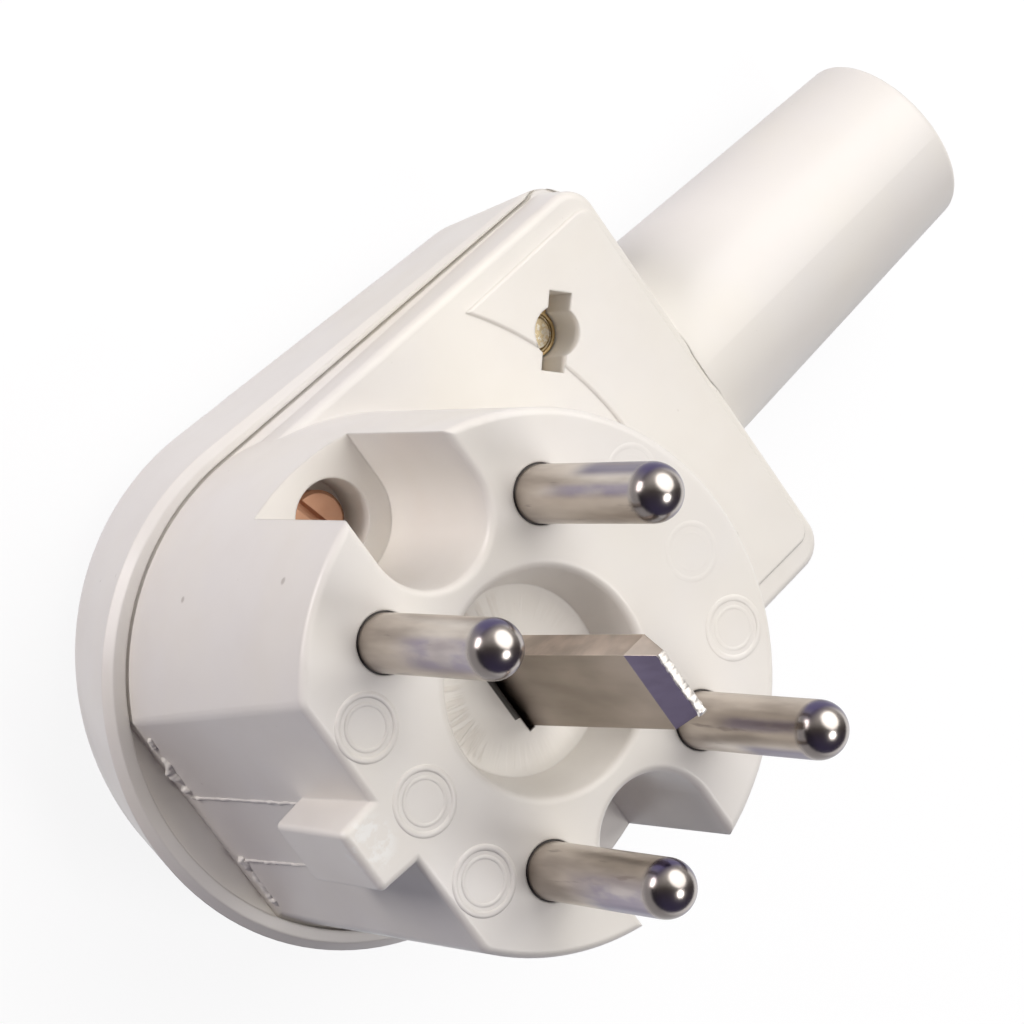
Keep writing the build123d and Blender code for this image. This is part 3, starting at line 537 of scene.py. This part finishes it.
def flash(name, start, end, z, low, high, seed):
    """Torn fin of flash along the foot of the facet, from one y to another."""
    path = []
    steps = int(abs(end - start) / FLASH_STEP)
    for k in range(steps + 1):
        t = k / steps
        y = start + (end - start) * t
        torn = max(0.0, 0.55 + 0.7 * wobble(y * 1.3, seed) + 0.35 * wobble(y * 3.1, seed + 3))
        fade = math.sin(math.pi * min(1.0, 6 * t, 6 * (1 - t)) / 2)
        tall = (low + (high - low) * torn) * fade
        point = on_facet(y, z + 0.3 * wobble(y * 1.3, seed + 5))
        path.append((point, 0.28 + 0.3 * torn, tall, (0, 0, 1)))
    ridge(name, path, (-1, 0, 0.15), housing)


mould_line("mould_line_upper", 2.65, 38.2)
mould_line("mould_line_lower", -4.75, 36.0)
flash("flash_upper", 9.6, 8.4, 18.4, 0.2, 0.7, 1.0)
flash("flash_middle", 7.4, 3.2, 18.3, 0.15, 0.75, 2.0)
flash("flash_lower", -4.3, -6.0, 18.6, 0.25, 0.8, 3.0)
flash("flash_end", -6.0, -10.4, 18.4, 0.1, 0.35, 4.0)


# burr along the tip of the earth blade
BURR_STEPS = 120
BURR_X = 1.1
BURR_START_Y = 3.1
BURR_LENGTH = 6.3
HOOK_Y = -3.0


def blade_burr():
    path = []
    for k in range(BURR_STEPS + 1):
        y = BURR_START_Y - BURR_LENGTH * k / BURR_STEPS
        high = 0.12 + 0.05 * wobble(y * 2.0, 7.0) + 0.03 * wobble(y * 5.0, 8.0)
        hook = 0.35 * max(0.0, 1 - abs(y - HOOK_Y) / 0.3)
        half = 0.42 + 0.08 * wobble(y * 3.0, 5.0)
        point = (BURR_X + 0.08 * wobble(y * 2.0, 9.0), y, BLADE_TIP_Z)
        path.append((point, half, max(0.04, high) + hook, (1, 0, 0)))
    ridge("blade_burr", path, (0, 0, 1), burr)


blade_burr()


# floor and light
FLOOR_LIT = (0.12, 0.11, 0.16, 1)       # as the light on the plug meets it
FLOOR_SEEN = (0.14, 0.14, 0.145, 1)     # with the glow: white, and darker in the shadow
FLOOR_GLOW = 0.88

# the room's colours from the foot of the picture to its top
ROOM = (
    (0.0, (0.07, 0.06, 0.13, 1)),
    (0.35, (0.06, 0.05, 0.075, 1)),
    (0.55, (0.09, 0.075, 0.07, 1)),
    (1.0, (0.90, 0.86, 0.83, 1)),
)
ROOM_STRENGTH = 0.75

# lamps: direction from the plug, distance and size in metres, watts and colour
LAMPS_LOOK_AT = Vector((10, 0, 30)) * MM
LAMPS = (
    ("key", (0.55, 0.27, 0.785), 0.55, (0.66, 0.66), 2.42, (1.0, 0.985, 0.955)),
    ("low_side", (-0.50, 0.86, 0.08), 0.60, (0.34, 0.20), 2.0, (1.0, 0.95, 0.94)),
    ("small", (0.08, -0.42, 0.90), 0.60, (0.25, 0.25), 1.0, (1.0, 0.98, 0.95)),
)


def make_floor():
    bpy.ops.mesh.primitive_plane_add(size=6.0, location=(0, 0, -0.00002))
    floor = bpy.context.object
    floor.name = "floor"
    g = Graph("floor_white")
    rays = g.add("ShaderNodeLightPath").outputs
    seen = g.math("MAXIMUM", rays["Is Glossy Ray"], rays["Is Transmission Ray"])
    seen = g.math("MAXIMUM", rays["Is Camera Ray"], seen)
    soft = g.add("ShaderNodeBsdfDiffuse", {"Color": g.mix(seen, FLOOR_LIT, FLOOR_SEEN)})
    glow = g.add("ShaderNodeEmission", {"Color": (1, 1, 1, 1), "Strength": g.product(seen, FLOOR_GLOW)})
    both = g.add("ShaderNodeAddShader", {0: soft.outputs[0], 1: glow.outputs[0]})
    g.put(g.tree.nodes["Material Output"].inputs["Surface"], both.outputs[0])
    floor.data.materials.append(g.material)


def make_world():
    """Dim room: lighter towards the top of the picture, lavender towards its foot."""
    world = bpy.data.worlds.new("studio")
    bpy.context.scene.world = world
    world.use_nodes = True
    tree = world.node_tree
    back = tree.nodes["Background"]
    way = tree.nodes.new("ShaderNodeTexCoord").outputs["Generated"]
    along = tree.nodes.new("ShaderNodeVectorMath")
    along.operation = "DOT_PRODUCT"
    tree.links.new(way, along.inputs[0])
    along.inputs[1].default_value = -DOWN
    spread = tree.nodes.new("ShaderNodeMapRange")
    spread.inputs["From Min"].default_value = -1.0
    tree.links.new(along.outputs["Value"], spread.inputs["Value"])
    ramp = tree.nodes.new("ShaderNodeValToRGB")
    foot, *between, top = ROOM
    stops = ramp.color_ramp.elements
    stops[0].position, stops[0].color = foot
    stops[1].position, stops[1].color = top
    for position, colour in between:
        stops.new(position).color = colour
    tree.links.new(spread.outputs["Result"], ramp.inputs[0])
    tree.links.new(ramp.outputs[0], back.inputs["Color"])
    back.inputs["Strength"].default_value = ROOM_STRENGTH


def area_light(name, direction, distance, size, watts, colour):
    data = bpy.data.lights.new(name, "AREA")
    data.shape = "ELLIPSE"
    data.size, data.size_y = size
    data.energy = watts
    data.color = colour
    lamp = bpy.data.objects.new(name, data)
    way = Vector(direction).normalized()
    lamp.location = LAMPS_LOOK_AT + way * distance
    lamp.rotation_euler = way.to_track_quat("Z", "Y").to_euler()
    bpy.context.scene.collection.objects.link(lamp)


make_camera()
make_floor()
make_world()
for lamp in LAMPS:
    area_light(*lamp)

scene = bpy.context.scene
scene.view_settings.view_transform = "Standard"
